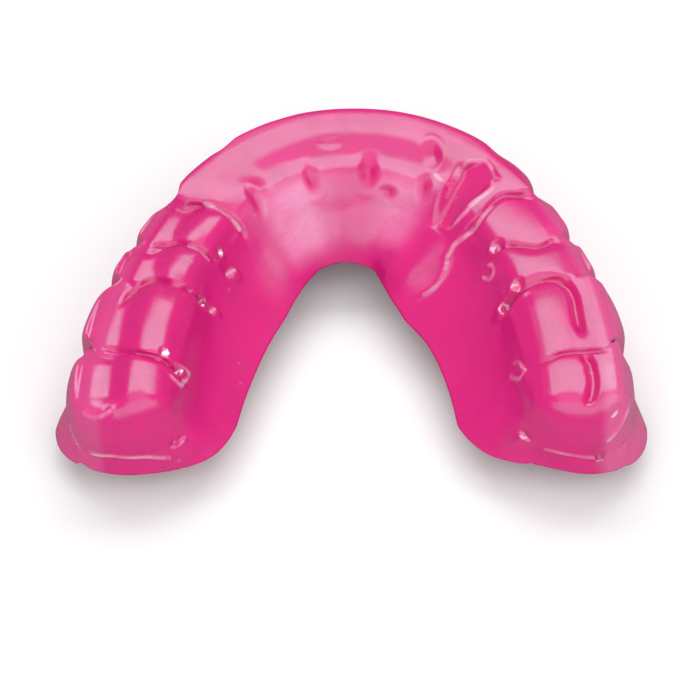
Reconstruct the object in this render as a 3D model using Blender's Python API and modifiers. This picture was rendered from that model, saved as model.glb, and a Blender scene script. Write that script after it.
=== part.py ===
"""Custom mouthguard for the upper arch: one thermoformed shell over fourteen teeth and the gum.

Stations run round the arch: along the cheek side, round the back of one last molar, along the
tongue side and round the back of the other. At each station seven rings of points go from the
middle line of the tooth tops, over the cusps, down to the rim. They make the outer skin of a
coarse cage. The same points moved in by the wall make the inner skin, and the rims are bridged.
Subdivision Surface rounds the cage, and a box trims the flange flat, so that the guard stands
on its rim. Lengths in the tables are millimetres.
"""

from collections import namedtuple

import bmesh
import bpy
import numpy as np

MM = 0.001

# The middle line of the tooth tops, seen from above, is half of a superellipse, and runs
# straight back past its ends.
ARCH_HALF_WIDTH = 27.5
ARCH_DEPTH = 44.0
ARCH_SQUARENESS = 2.15
ARCH_SAMPLES = 4000
ARCH_RUN_BACK = 30.0

# The dental midline lies a little to the right of the middle of the arch.
MIDLINE_SHIFT = 2.6

# A profile runs from the crest to the rim as (reach from the middle line, height) pairs.
# middle is the height on the middle line itself.
Profile = namedtuple("Profile", "middle cheek tongue")
INCISOR = Profile(
    middle=17.0,
    cheek=((1.9, 17.6), (4.0, 16.6), (5.0, 12.0), (3.9, 7.0), (4.4, 3.0), (4.8, -1.6)),
    tongue=((2.4, 15.9), (5.6, 16.0), (8.6, 12.6), (10.8, 9.8), (12.1, 8.0), (12.9, 6.4)),
)
CANINE = Profile(
    middle=17.2,
    cheek=((1.8, 17.8), (3.9, 16.4), (5.4, 12.0), (4.8, 7.0), (5.2, 3.0), (5.6, -1.6)),
    tongue=((2.6, 16.7), (5.6, 17.0), (8.4, 12.6), (10.4, 9.7), (12.1, 7.8), (13.4, 6.2)),
)
PREMOLAR = Profile(
    middle=15.4,
    cheek=((2.2, 17.4), (4.4, 16.0), (5.6, 11.2), (5.2, 6.5), (5.5, 3.0), (5.9, -1.6)),
    tongue=((3.2, 17.4), (5.9, 15.8), (7.4, 11.8), (9.4, 8.8), (12.0, 6.8), (14.0, 5.6)),
)
MOLAR = Profile(
    middle=15.0,
    cheek=((2.5, 17.2), (5.7, 15.8), (7.2, 10.8), (6.7, 6.2), (6.9, 3.0), (7.2, -1.6)),
    tongue=((3.4, 17.8), (6.4, 15.8), (7.8, 11.4), (9.8, 8.2), (12.2, 6.6), (14.2, 5.4)),
)
LAST_MOLAR = Profile(
    middle=14.8,
    cheek=((2.7, 16.8), (5.7, 15.2), (7.2, 11.0), (7.0, 7.4), (8.4, 5.4), (9.0, 3.6)),
    tongue=((3.4, 17.2), (6.2, 15.2), (7.6, 11.2), (9.6, 8.2), (11.6, 6.4), (13.2, 5.2)),
)
# The same rings at the back of the last molar, out from its own middle.
HEEL_BACK = ((4.4, 16.0), (6.9, 14.4), (7.7, 11.0), (7.3, 7.8), (7.5, 6.0), (7.6, 4.8))
HEEL_SQUARENESS = 2.6
HEEL_STEPS = 8
# How far each heel is trimmed in at its cheek corner and at its tongue corner, and the share of
# that at each ring.
Cut = namedtuple("Cut", "cheek tongue")
LEFT_HEEL_CUT = Cut(cheek=0.8, tongue=0.6)
RIGHT_HEEL_CUT = Cut(cheek=0.1, tongue=1.8)
CUT_SHARES = (0.0, 0.0, 0.0, 0.2, 0.6, 1.0, 1.0)

# Teeth from the midline back. Each side has its width along the arch, what its cheek side
# bulges past the profile and how much further its edge reaches over the palate. The notch
# behind the tooth is a share of a full one, on the cheek side and on the tongue side.
Side = namedtuple("Side", "width bulge palate")
Tooth = namedtuple("Tooth", "profile left right cheek_notch tongue_notch")
TEETH = {
    "central incisor": Tooth(INCISOR, Side(10.2, 0.0, 0.2), Side(9.5, 0.3, 1.2), 0.1, 0.5),
    "lateral incisor": Tooth(INCISOR, Side(8.6, -0.6, 0.4), Side(4.6, 0.6, 2.8), 0.4, 0.5),
    "canine": Tooth(CANINE, Side(8.4, -0.4, 0.8), Side(7.6, 0.6, 3.2), 1.2, 0.8),
    "first premolar": Tooth(PREMOLAR, Side(7.0, -0.2, 0.8), Side(6.4, 0.1, 2.8), 1.2, 1.0),
    "second premolar": Tooth(PREMOLAR, Side(5.7, 0.0, 0.6), Side(6.6, 0.2, 1.8), 1.1, 1.0),
    "first molar": Tooth(MOLAR, Side(8.5, -0.2, 0.0), Side(9.0, 0.0, 1.0), 1.0, 1.0),
    "last molar": Tooth(LAST_MOLAR, Side(12.4, 0.2, 0.0), Side(11.6, -0.4, 1.4), 0.0, 0.0),
}
MIDLINE_CHEEK_NOTCH = 0.1
MIDLINE_TONGUE_NOTCH = 0.5
# Where the stations between two contacts stand, as shares of the tooth's width.
FRONT_STATIONS = (0.33, 0.67)
BACK_STATIONS = (0.22, 0.78)
BACK_PROFILES = (PREMOLAR, MOLAR)

# A full notch between two teeth, as (reach, height) changes from the crest to the rim.
CHEEK_NOTCH = ((-0.3, -1.2), (-1.6, -1.6), (-2.8, 0.0), (-1.0, 0.0), (0.0, 0.0), (0.0, 0.0))
TONGUE_NOTCH = ((-0.2, -1.3), (-0.8, -1.6), (-1.4, -1.2), (-0.5, -0.5), (0.0, 0.0), (0.0, 0.0))

# Relief for the folds of skin under the lip and the cheeks, cut up into the flange.
LIP_RELIEF = 4.5
CHEEK_RELIEF = 3.0
CHEEK_RELIEF_BEHIND = "canine"

WALL = 2.6
# The wall's share at each ring, from the middle line to the rim.
WALL_SHARES = (1.0, 1.0, 1.0, 1.0, 0.9, 0.7, 0.55)
# The inside shows this share of the notches between the teeth.
INNER_NOTCH = 0.45
ROUNDING_LEVELS = 1
WELD = 0.01
TRIM_MARGIN = 20.0

RINGS = len(WALL_SHARES)
FIRST_BULGE_RING = 2
FIRST_PALATE_RING = 4
GUARD_NAME = "mouthguard"
COLOUR = (0.78, 0.017, 0.19, 1.0)
ROUGHNESS = 0.18


def clear_scene():
    for obj in list(bpy.data.objects):
        bpy.data.objects.remove(obj, do_unlink=True)


def new_collection(name):
    collection = bpy.data.collections.new(name)
    bpy.context.scene.collection.children.link(collection)
    return collection


def arch_line():
    """Arc length, place and outward direction along the middle line, with length 0 in front."""
    turn = np.linspace(-np.pi / 2, np.pi / 2, ARCH_SAMPLES + 1)
    power = 2.0 / ARCH_SQUARENESS
    across = ARCH_HALF_WIDTH * np.sign(turn) * np.abs(np.sin(turn)) ** power
    along = ARCH_DEPTH * (np.abs(np.cos(turn)) ** power - 1.0)
    across = np.concatenate([across[:1], across, across[-1:]])
    along = np.concatenate([[-ARCH_DEPTH - ARCH_RUN_BACK], along, [-ARCH_DEPTH - ARCH_RUN_BACK]])
    places = np.stack([across, along], axis=1)
    steps = np.linalg.norm(np.diff(places, axis=0), axis=1)
    lengths = np.concatenate([[0.0], np.cumsum(steps)])
    lengths -= lengths[-1] / 2.0
    tangents = np.gradient(places, lengths, axis=0)
    outward = np.stack([-tangents[:, 1], tangents[:, 0]], axis=1)
    return lengths, places, outward


def arch_frames(lengths):
    """(place, outward direction) at each arc length."""
    table, places, outward = arch_line()
    frames = []
    for length in lengths:
        place = np.array([np.interp(length, table, places[:, axis]) for axis in (0, 1)])
        away = np.array([np.interp(length, table, outward[:, axis]) for axis in (0, 1)])
        frames.append((place, away / np.linalg.norm(away)))
    return frames


def tooth_points(tooth, side):
    """Cheek and tongue ring points of one tooth, from the middle line to the rim."""
    profile = tooth.profile
    cheek = np.array([(0.0, profile.middle), *profile.cheek])
    tongue = np.array([(0.0, profile.middle), *profile.tongue])
    cheek[FIRST_BULGE_RING:, 0] += side.bulge
    tongue[FIRST_PALATE_RING:, 0] += side.palate
    return np.stack([cheek, tongue])


def notch_points(cheek_share, tongue_share, relief):
    """What a notch takes off the ring points. Both sides meet on the middle line."""
    cheek = cheek_share * np.array([(0.0, 0.0), *CHEEK_NOTCH])
    tongue = tongue_share * np.array([(0.0, 0.0), *TONGUE_NOTCH])
    both = np.stack([cheek, tongue])
    both[:, 0, 1] = (cheek[1, 1] + tongue[1, 1]) / 2.0
    both[0, -1, 1] += relief
    return both


def one_side(sign):
    """Stations from the midline to the last molar's middle, and the middle of each tooth.

    A station is (arc length, what its notch takes off). A middle is (arc length, ring points).
    """
    stations = []
    middles = []
    contact = MIDLINE_SHIFT
    notch = notch_points(MIDLINE_CHEEK_NOTCH, MIDLINE_TONGUE_NOTCH, LIP_RELIEF)
    for name, tooth in TEETH.items():
        side = tooth.right if sign > 0 else tooth.left
        middle = contact + sign * side.width / 2.0
        middles.append((middle, tooth_points(tooth, side)))
        stations.append((contact, notch))
        if tooth.profile is LAST_MOLAR:
            stations.append(((contact + middle) / 2.0, 0.0 * notch))
            stations.append((middle, 0.0 * notch))
            break
        for share in BACK_STATIONS if tooth.profile in BACK_PROFILES else FRONT_STATIONS:
            stations.append((contact + sign * side.width * share, 0.0 * notch))
        contact += sign * side.width
        relief = CHEEK_RELIEF if name == CHEEK_RELIEF_BEHIND else 0.0
        notch = notch_points(tooth.cheek_notch, tooth.tongue_notch, relief)
    return stations, middles


def station_points(stations, middles, notch_share):
    """Ring points at each station, carried smoothly from tooth to tooth, less its notch."""
    lengths = [length for length, _ in middles]
    table = np.stack([points for _, points in middles])
    rows = []
    for length, notch in stations:
        points = np.zeros(table.shape[1:])
        for index in np.ndindex(points.shape):
            points[index] = np.interp(length, lengths, table[(slice(None), *index)])
        rows.append(points + notch_share * notch)
    return rows


def heel_sections(frame, points, sign):
    """Sections round the back of a last molar, from its cheek side to its tongue side."""
    place, away = frame
    back = sign * np.array([away[1], -away[0]])
    behind = np.array([(0.0, points[0, 0, 1]), *HEEL_BACK])
    sections = []
    for step in range(1, HEEL_STEPS):
        turn = np.pi * step / HEEL_STEPS
        beside = points[0] if turn <= np.pi / 2.0 else points[1]
        share = np.sin(turn) ** 2
        heights = beside[:, 1] * (1.0 - share) + behind[:, 1] * share
        across = (np.abs(np.cos(turn)) / beside[1:, 0]) ** HEEL_SQUARENESS
        along = (np.sin(turn) / behind[1:, 0]) ** HEEL_SQUARENESS
        reaches = np.concatenate([[0.0], (across + along) ** (-1.0 / HEEL_SQUARENESS)])
        heel_cut = RIGHT_HEEL_CUT if sign > 0 else LEFT_HEEL_CUT
        corner = heel_cut.cheek if turn <= np.pi / 2.0 else heel_cut.tongue
        reaches -= corner * np.sin(2.0 * turn) ** 2 * np.array(CUT_SHARES)
        outward = np.cos(turn) * away + np.sin(turn) * back
        sections.append((place, outward, np.stack([reaches, heights], axis=1)))
    return sections


def loop_sections(notch_share):
    """(place, direction, ring points) of every section, once round the guard."""
    left_stations, left_middles = one_side(-1)
    right_stations, right_middles = one_side(1)
    stations = left_stations[:0:-1] + right_stations
    middles = left_middles[::-1] + right_middles
    frames = arch_frames([length for length, _ in stations])
    rows = station_points(stations, middles, notch_share)
    cheek = [(place, away, points[0]) for (place, away), points in zip(frames, rows)]
    tongue = [(place, -away, points[1]) for (place, away), points in zip(frames, rows)]
    right_heel = heel_sections(frames[-1], rows[-1], 1)
    left_heel = heel_sections(frames[0], rows[0], -1)
    return cheek + right_heel + tongue[::-1] + left_heel[::-1]


def moved_in(points, wall):
    """Ring points moved into the guard by its wall, square to the section's outline."""
    runs = np.diff(points, axis=0)
    normals = np.stack([-runs[:, 1], runs[:, 0]], axis=1)
    normals /= np.linalg.norm(normals, axis=1)[:, None]
    corners = np.concatenate([[(0.0, 1.0)], normals[:-1] + normals[1:], normals[-1:]])
    corners /= np.linalg.norm(corners, axis=1)[:, None]
    return points - wall * np.array(WALL_SHARES)[:, None] * corners


def add_skin(cage, sections, wall):
    """A grid wrapped round the sections, closed at its seam and along the middle line."""
    columns = []
    for place, direction, points in sections + sections[:1]:
        rings = moved_in(points, wall)
        columns.append([(*(place + reach * direction), height) for reach, height in rings])
    skin = bmesh.ops.create_grid(cage, x_segments=len(sections), y_segments=RINGS - 1, size=1.0)
    for vert in skin["verts"]:
        column = round((vert.co.x + 1.0) / 2.0 * len(sections))
        ring = round((vert.co.y + 1.0) / 2.0 * (RINGS - 1))
        vert.co = [MM * value for value in columns[column][ring]]
    bmesh.ops.remove_doubles(cage, verts=skin["verts"], dist=WELD * MM)


def cage_mesh():
    """The outer and the inner skin, joined all round the rim."""
    mesh = bpy.data.meshes.new(GUARD_NAME)
    cage = bmesh.new()
    add_skin(cage, loop_sections(1.0), 0.0)
    add_skin(cage, loop_sections(INNER_NOTCH), WALL)
    rims = [edge for edge in cage.edges if edge.is_boundary]
    bmesh.ops.bridge_loops(cage, edges=rims)
    bmesh.ops.recalc_face_normals(cage, faces=cage.faces)
    cage.to_mesh(mesh)
    cage.free()
    return mesh


def make_material():
    material = bpy.data.materials.new("pink_eva")
    material.use_nodes = True
    shader = material.node_tree.nodes["Principled BSDF"]
    shader.inputs["Base Color"].default_value = COLOUR
    shader.inputs["Roughness"].default_value = ROUGHNESS
    shader.inputs["Metallic"].default_value = 0.0
    return material


def make_trim_box(cutters):
    """The block below the bench line, which takes the flange off flat."""
    side = 2.0 * (ARCH_HALF_WIDTH + ARCH_DEPTH + TRIM_MARGIN)
    bpy.ops.mesh.primitive_cube_add(size=side * MM, location=(0.0, 0.0, -side * MM / 2.0))
    box = bpy.context.object
    box.name = "trim_box"
    for collection in list(box.users_collection):
        collection.objects.unlink(box)
    cutters.objects.link(box)
    box.hide_render = True
    box.display_type = "WIRE"
    return box


def make_guard(parts, cutters):
    guard = bpy.data.objects.new(GUARD_NAME, cage_mesh())
    parts.objects.link(guard)
    rounding = guard.modifiers.new("rounding", "SUBSURF")
    rounding.levels = ROUNDING_LEVELS
    rounding.render_levels = ROUNDING_LEVELS
    trim = guard.modifiers.new("trim", "BOOLEAN")
    trim.operation = "DIFFERENCE"
    trim.solver = "EXACT"
    trim.object = make_trim_box(cutters)
    guard.data.materials.append(make_material())
    guard.data.shade_smooth()
    return guard


def stand_on_origin(guard):
    """Move the guard so that the origin is under the middle of its outline."""
    bpy.context.view_layer.update()
    graph = bpy.context.evaluated_depsgraph_get()
    solid = guard.evaluated_get(graph).to_mesh()
    places = np.array([vert.co for vert in solid.vertices])
    middle = (places.min(axis=0) + places.max(axis=0)) / 2.0
    guard.location = (-middle[0], -middle[1], 0.0)


def main():
    clear_scene()
    parts = new_collection("Custom mouthguard")
    cutters = new_collection("Cutters")
    guard = make_guard(parts, cutters)
    stand_on_origin(guard)


main()
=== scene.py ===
"""Looks of the custom mouthguard: its pressed EVA shell in full detail, on a plain pale stage."""
import math
from collections import namedtuple

import bpy
import numpy as np
from mathutils import Matrix, Vector
from mathutils.bvhtree import BVHTree


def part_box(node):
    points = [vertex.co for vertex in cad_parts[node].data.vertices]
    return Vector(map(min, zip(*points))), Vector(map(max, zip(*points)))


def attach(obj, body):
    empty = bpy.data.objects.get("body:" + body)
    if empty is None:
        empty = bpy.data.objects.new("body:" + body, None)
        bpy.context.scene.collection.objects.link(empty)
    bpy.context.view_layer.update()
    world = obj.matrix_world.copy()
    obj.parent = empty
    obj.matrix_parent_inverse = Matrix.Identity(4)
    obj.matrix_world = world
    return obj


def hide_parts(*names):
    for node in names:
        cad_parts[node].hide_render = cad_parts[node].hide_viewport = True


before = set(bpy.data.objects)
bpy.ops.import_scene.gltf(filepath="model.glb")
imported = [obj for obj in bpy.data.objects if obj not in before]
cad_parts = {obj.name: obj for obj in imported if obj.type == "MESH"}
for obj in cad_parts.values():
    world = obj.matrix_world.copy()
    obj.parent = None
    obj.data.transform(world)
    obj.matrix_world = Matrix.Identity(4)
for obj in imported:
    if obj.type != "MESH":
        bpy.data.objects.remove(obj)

bl_info = {
    "name": "Custom Mouthguard",
    "version": (1, 0, 0),
    "blender": (4, 5, 0),
    "location": "View3D > Sidebar > Mouthguard",
    "description": "Builds a thermoformed mouthguard with its pressed details on a pale stage",
    "category": "Object",
}

NODE = "mouthguard"
BODY = "root"
MM = 0.001

# The tables below are in millimetres. The arch, the profiles, the teeth's sizes and the
# heels are the solid's own.
ARCH_HALF_WIDTH = 27.5
ARCH_DEPTH = 44.0
ARCH_SQUARENESS = 2.15
ARCH_SAMPLES = 1200
ARCH_RUN_BACK = 30.0
RUN_SAMPLES = 150
MIDLINE_SHIFT = 2.6

# A profile runs from the crest to the rim as (reach from the middle line, height) pairs.
Profile = namedtuple("Profile", "middle cheek tongue")
INCISOR = Profile(
    middle=17.0,
    cheek=((1.9, 17.6), (4.0, 16.6), (5.0, 12.0), (3.9, 7.0), (4.4, 3.0), (4.8, -1.6)),
    tongue=((2.4, 15.9), (5.6, 16.0), (8.6, 12.6), (10.8, 9.8), (12.1, 8.0), (12.9, 6.4)),
)
CANINE = Profile(
    middle=17.2,
    cheek=((1.8, 17.8), (3.9, 16.4), (5.4, 12.0), (4.8, 7.0), (5.2, 3.0), (5.6, -1.6)),
    tongue=((2.6, 16.7), (5.6, 17.0), (8.4, 12.6), (10.4, 9.7), (12.1, 7.8), (13.4, 6.2)),
)
PREMOLAR = Profile(
    middle=15.4,
    cheek=((2.2, 17.4), (4.4, 16.0), (5.6, 11.2), (5.2, 6.5), (5.5, 3.0), (5.9, -1.6)),
    tongue=((3.2, 17.4), (5.9, 15.8), (7.4, 11.8), (9.4, 8.8), (12.0, 6.8), (14.0, 5.6)),
)
MOLAR = Profile(
    middle=15.0,
    cheek=((2.5, 17.2), (5.7, 15.8), (7.2, 10.8), (6.7, 6.2), (6.9, 3.0), (7.2, -1.6)),
    tongue=((3.4, 17.8), (6.4, 15.8), (7.8, 11.4), (9.8, 8.2), (12.2, 6.6), (14.2, 5.4)),
)
LAST_MOLAR = Profile(
    middle=14.8,
    cheek=((2.7, 16.8), (5.7, 15.2), (7.2, 11.0), (7.0, 7.4), (8.4, 5.4), (9.0, 3.6)),
    tongue=((3.4, 17.2), (6.2, 15.2), (7.6, 11.2), (9.6, 8.2), (11.6, 6.4), (13.2, 5.2)),
)
BACK_PROFILES = (PREMOLAR, MOLAR)
HEEL_BACK = ((4.4, 16.0), (6.9, 14.4), (7.7, 11.0), (7.3, 7.8), (7.5, 6.0), (7.6, 4.8))
HEEL_SQUARENESS = 2.6
HEEL_STEPS = 8
Cut = namedtuple("Cut", "cheek tongue")
LEFT_HEEL_CUT = Cut(cheek=0.8, tongue=0.6)
RIGHT_HEEL_CUT = Cut(cheek=0.1, tongue=1.8)
CUT_SHARES = (0.0, 0.0, 0.0, 0.2, 0.6, 1.0, 1.0)
# Where a skin's stations stand along a tooth: closer to the contacts where these are sharp.
FRONT_STATIONS = (0.25, 0.5, 0.75)
BACK_STATIONS = (0.15, 0.38, 0.62, 0.85)
INNER_STATIONS = (1.0 / 3.0, 2.0 / 3.0)

# Teeth from the midline back. A side has the tooth's width along the arch, what its cheek side
# bulges past the profile and how much further its edge reaches over the palate. The notch
# behind the tooth is a share of a full one.
Side = namedtuple("Side", "width bulge palate")
Tooth = namedtuple("Tooth", "profile left right notch")
TEETH = {
    "central incisor": Tooth(INCISOR, Side(10.2, 0.0, 0.2), Side(9.5, 0.3, 1.2), 0.1),
    "lateral incisor": Tooth(INCISOR, Side(8.6, -0.6, 0.4), Side(4.6, 0.6, 2.8), 0.4),
    "canine": Tooth(CANINE, Side(8.4, -0.4, 0.8), Side(7.6, 0.6, 3.2), 1.2),
    "first premolar": Tooth(PREMOLAR, Side(7.0, -0.2, 0.8), Side(6.4, 0.1, 2.8), 1.2),
    "second premolar": Tooth(PREMOLAR, Side(5.7, 0.0, 0.6), Side(6.6, 0.2, 1.8), 1.1),
    "first molar": Tooth(MOLAR, Side(8.5, -0.2, 0.0), Side(9.0, 0.0, 1.0), 1.2),
    "last molar": Tooth(LAST_MOLAR, Side(12.4, 0.2, 0.0), Side(11.6, -0.4, 1.4), 0.0),
}
MIDLINE_NOTCH = 0.1
# A full notch in the cheek side, as (reach, height) changes from the crest to the rim.
NOTCH = ((0.0, 0.0), (-1.6, -0.6), (-3.0, 0.0), (-1.0, 0.0), (0.0, 0.0), (0.0, 0.0))
# How far the tops of the crowns lean back along the arch, as (arc length, lean) pairs, and
# how much of that each ring takes.
LEFT_LEAN = ((0.0, 0.0), (31.6, 0.0), (37.3, 0.4), (45.8, 3.6), (52.0, 0.0))
RIGHT_LEAN = ((0.0, 0.0), (24.3, 0.0), (30.7, 1.2), (37.3, 1.0), (46.3, 3.6), (52.1, 0.0))
LEAN_SHARES = (1.0, 1.0, 0.8, 0.1, 0.0, 0.0, 0.0)
LIP_RELIEF = 4.5
CHEEK_RELIEF = 3.0
CHEEK_RELIEF_BEHIND = "canine"
WALL_SHARES = (1.0, 1.0, 1.0, 1.0, 0.9, 0.7, 0.55)
RINGS = len(WALL_SHARES)
FIRST_BULGE_RING = 2
FIRST_PALATE_RING = 4
# How often each skin is rounded, and the ring down to which the outer one is split once more.
OUTER_ROUNDING = 3
INNER_ROUNDING = 2
LAST_SPLIT_RING = 3
# How close points are welded and trimmed, and how far a split row's ring may be off.
WELD = 0.01
TRIM_MARGIN = 0.001
RING_MARGIN = 0.01
# How many points are set against the arch at a time.
POINTS_AT_ONCE = 2000

# The photograph's camera: where it looks, in millimetres, and its frame, in pixels.
CAMERA_TARGET = (-0.217, -1.943, 0.0)
CAMERA_DISTANCE = 400.0
CAMERA_AZIMUTH = 1.0
CAMERA_ELEVATION = 50.0
CAMERA_ROLL = -0.983
FRAME_SIDE = 700
FOCAL_PIXELS = 3172.275
SENSOR = 36.0

# Softboxes: which way they hang, in degrees, how far off, their sides, in metres, how bright they
# look and whether they show in the gloss. Front is the side of the front teeth.
Lamp = namedtuple("Lamp", "name azimuth elevation distance width height radiance glossy")
LAMPS = (
    Lamp("front softbox", 180.0, 61.0, 0.7, 0.92, 0.34, 3.8, True),
    Lamp("top softbox", 0.0, 87.0, 0.9, 0.9, 0.4, 1.0, True),
    Lamp("rear softbox", 10.0, 50.0, 0.8, 1.6, 0.68, 1.7, True),
    Lamp("fill", 0.0, 25.0, 1.2, 1.6, 0.9, 0.95, False),
    Lamp("left fill", -80.0, 30.0, 1.2, 1.4, 0.8, 0.6, False),
    Lamp("right fill", 80.0, 30.0, 1.2, 1.4, 0.8, 0.6, False),
)
# The floor's side and the camera's range, in metres, the grey that the floor has in the gloss,
# and the light from all round.
FLOOR_SIDE = 4.0
FLOOR_ROUGHNESS = 0.8
FLOOR_IN_GLOSS = (0.2, 0.2, 0.2, 1.0)
CAMERA_RANGE = (0.01, 20.0)
WORLD_COLOUR = (0.8, 0.8, 0.8, 1.0)
WORLD_STRENGTH = 0.24


def deselect_all():
    bpy.ops.object.select_all(action="DESELECT")


def pick(obj):
    deselect_all()
    obj.select_set(True)
    bpy.context.view_layer.objects.active = obj


# The arch and its sections

def arch_line():
    """Arc length, place and outward direction along the middle line, with length 0 in front."""
    turn = np.linspace(-np.pi / 2, np.pi / 2, ARCH_SAMPLES + 1)
    power = 2.0 / ARCH_SQUARENESS
    across = ARCH_HALF_WIDTH * np.sign(turn) * np.abs(np.sin(turn)) ** power
    along = ARCH_DEPTH * (np.abs(np.cos(turn)) ** power - 1.0)
    run = np.linspace(0.0, ARCH_RUN_BACK, RUN_SAMPLES)[1:]
    across = np.concatenate([0.0 * run + across[0], across, 0.0 * run + across[-1]])
    along = np.concatenate([-ARCH_DEPTH - run[::-1], along, -ARCH_DEPTH - run])
    places = np.stack([across, along], axis=1)
    steps = np.linalg.norm(np.diff(places, axis=0), axis=1)
    lengths = np.concatenate([[0.0], np.cumsum(steps)])
    lengths -= lengths[-1] / 2.0
    tangents = np.gradient(places, lengths, axis=0)
    outward = np.stack([-tangents[:, 1], tangents[:, 0]], axis=1)
    outward /= np.linalg.norm(outward, axis=1)[:, None]
    return lengths, places, outward


ARCH = arch_line()


def arch_frames(lengths):
    """(place, outward direction) at each arc length."""
    table, places, outward = ARCH
    frames = []
    for length in lengths:
        place = np.array([np.interp(length, table, places[:, axis]) for axis in (0, 1)])
        away = np.array([np.interp(length, table, outward[:, axis]) for axis in (0, 1)])
        frames.append((place, away / np.linalg.norm(away)))
    return frames


def arch_coordinates(points):
    """(arc length, signed reach) of points seen from above. Reach is positive on the cheek side."""
    table, places, outward = ARCH
    along = np.empty(len(points))
    reach = np.empty(len(points))
    for start in range(0, len(points), POINTS_AT_ONCE):
        rows = slice(start, start + POINTS_AT_ONCE)
        part = points[rows, :2]
        gaps = part[:, None, :] - places[None, :, :]
        nearest = (gaps ** 2).sum(axis=2).argmin(axis=1)
        along[rows] = table[nearest]
        reach[rows] = ((part - places[nearest]) * outward[nearest]).sum(axis=1)
    return along, reach


def tooth_points(tooth, side):
    profile = tooth.profile
    cheek = np.array([(0.0, profile.middle), *profile.cheek])
    tongue = np.array([(0.0, profile.middle), *profile.tongue])
    cheek[FIRST_BULGE_RING:, 0] += side.bulge
    tongue[FIRST_PALATE_RING:, 0] += side.palate
    return np.stack([cheek, tongue])


def notch_points(share, relief):
    """What a notch and a relief in the rim change at the cheek and tongue ring points."""
    both = np.zeros((2, RINGS, 2))
    both[0, 1:] = share * np.array(NOTCH)
    both[0, -1, 1] += relief
    return both


def one_side(sign, front, back):
    """Stations from the midline to the last molar's middle, and the middle of each tooth.

    A station is (arc length, what its notch takes off). A middle is (arc length, ring points).
    """
    stations = []
    middles = []
    contact = MIDLINE_SHIFT
    notch = notch_points(MIDLINE_NOTCH, LIP_RELIEF)
    plain = np.zeros_like(notch)
    for name, tooth in TEETH.items():
        side = tooth.right if sign > 0 else tooth.left
        middle = contact + sign * side.width / 2.0
        middles.append((middle, tooth_points(tooth, side)))
        stations.append((contact, notch))
        if tooth.profile is LAST_MOLAR:
            for share in (*[share for share in back if share < 0.5], 0.5):
                stations.append((contact + sign * side.width * share, plain))
            break
        for share in back if tooth.profile in BACK_PROFILES else front:
            stations.append((contact + sign * side.width * share, plain))
        contact += sign * side.width
        relief = CHEEK_RELIEF if name == CHEEK_RELIEF_BEHIND else 0.0
        notch = notch_points(tooth.notch, relief)
    return stations, middles


def station_points(stations, middles):
    """Ring points at each station, carried smoothly from tooth to tooth, less its notch."""
    lengths = [length for length, _ in middles]
    table = np.stack([points for _, points in middles])
    rows = []
    for length, notch in stations:
        points = np.zeros(table.shape[1:])
        for index in np.ndindex(points.shape):
            points[index] = np.interp(length, lengths, table[(slice(None), *index)])
        rows.append(points + notch)
    return rows


def heel_sections(length, place, away, points):
    """Sections round the back of a last molar, from its cheek side to its tongue side."""
    sign = math.copysign(1.0, length)
    back = sign * np.array([away[1], -away[0]])
    behind = np.array([(0.0, points[0, 0, 1]), *HEEL_BACK])
    sections = []
    for step in range(1, HEEL_STEPS):
        turn = np.pi * step / HEEL_STEPS
        beside = points[0] if turn <= np.pi / 2.0 else points[1]
        share = np.sin(turn) ** 2
        heights = beside[:, 1] * (1.0 - share) + behind[:, 1] * share
        across = (np.abs(np.cos(turn)) / beside[1:, 0]) ** HEEL_SQUARENESS
        along = (np.sin(turn) / behind[1:, 0]) ** HEEL_SQUARENESS
        reaches = np.concatenate([[0.0], (across + along) ** (-1.0 / HEEL_SQUARENESS)])
        heel_cut = RIGHT_HEEL_CUT if sign > 0 else LEFT_HEEL_CUT
        corner = heel_cut.cheek if turn <= np.pi / 2.0 else heel_cut.tongue
        reaches -= corner * np.sin(2.0 * turn) ** 2 * np.array(CUT_SHARES)
        outward = np.cos(turn) * away + np.sin(turn) * back
        points_round = np.stack([reaches, heights], axis=1)
        sections.append((length, place, outward, points_round, 0.0 * back))
    return sections


def lean_back(length, away):
    """How far, and which way, the crown tops lean at an arc length."""
    sign = math.copysign(1.0, length)
    lengths, leans = np.array(RIGHT_LEAN if sign > 0 else LEFT_LEAN).T
    return np.interp(abs(length), lengths, leans) * sign * np.array([away[1], -away[0]])


def loop_sections(front, back):
    """(arc length, place, direction, ring points, lean) of every section, once round."""
    left_stations, left_middles = one_side(-1, front, back)
    right_stations, right_middles = one_side(1, front, back)
    stations = left_stations[:0:-1] + right_stations
    lengths = [length for length, _ in stations]
    frames = arch_frames(lengths)
    rows = station_points(stations, left_middles[::-1] + right_middles)
    cheek = []
    tongue = []
    for length, (place, away), points in zip(lengths, frames, rows):
        lean = lean_back(length, away)
        cheek.append((length, place, away, points[0], lean))
        tongue.append((length, place, -away, points[1], lean))
    right_heel = heel_sections(lengths[-1], *frames[-1], rows[-1])
    left_heel = heel_sections(lengths[0], *frames[0], rows[0])
    return cheek + right_heel + tongue[::-1] + left_heel[::-1]


def moved_in(points, wall):
    """Ring points moved into the guard by its wall, square to the section's outline."""
    runs = np.diff(points, axis=0)
    normals = np.stack([-runs[:, 1], runs[:, 0]], axis=1)
    normals /= np.linalg.norm(normals, axis=1)[:, None]
    corners = np.concatenate([[(0.0, 1.0)], normals[:-1] + normals[1:], normals[-1:]])
    corners /= np.linalg.norm(corners, axis=1)[:, None]
    return points - wall * np.array(WALL_SHARES)[:, None] * corners


# Meshes

def vectors(items, name):
    """One row of three values for each of a mesh's items."""
    values = np.empty(len(items) * 3)
    items.foreach_get(name, values)
    return values.reshape(-1, 3)


def vertex_array(mesh):
    return vectors(mesh.vertices, "co")


def normal_array(mesh):
    return vectors(mesh.vertex_normals, "vector")


def set_points(mesh, points):
    mesh.vertices.foreach_set("co", points.ravel())
    mesh.update()


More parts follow.
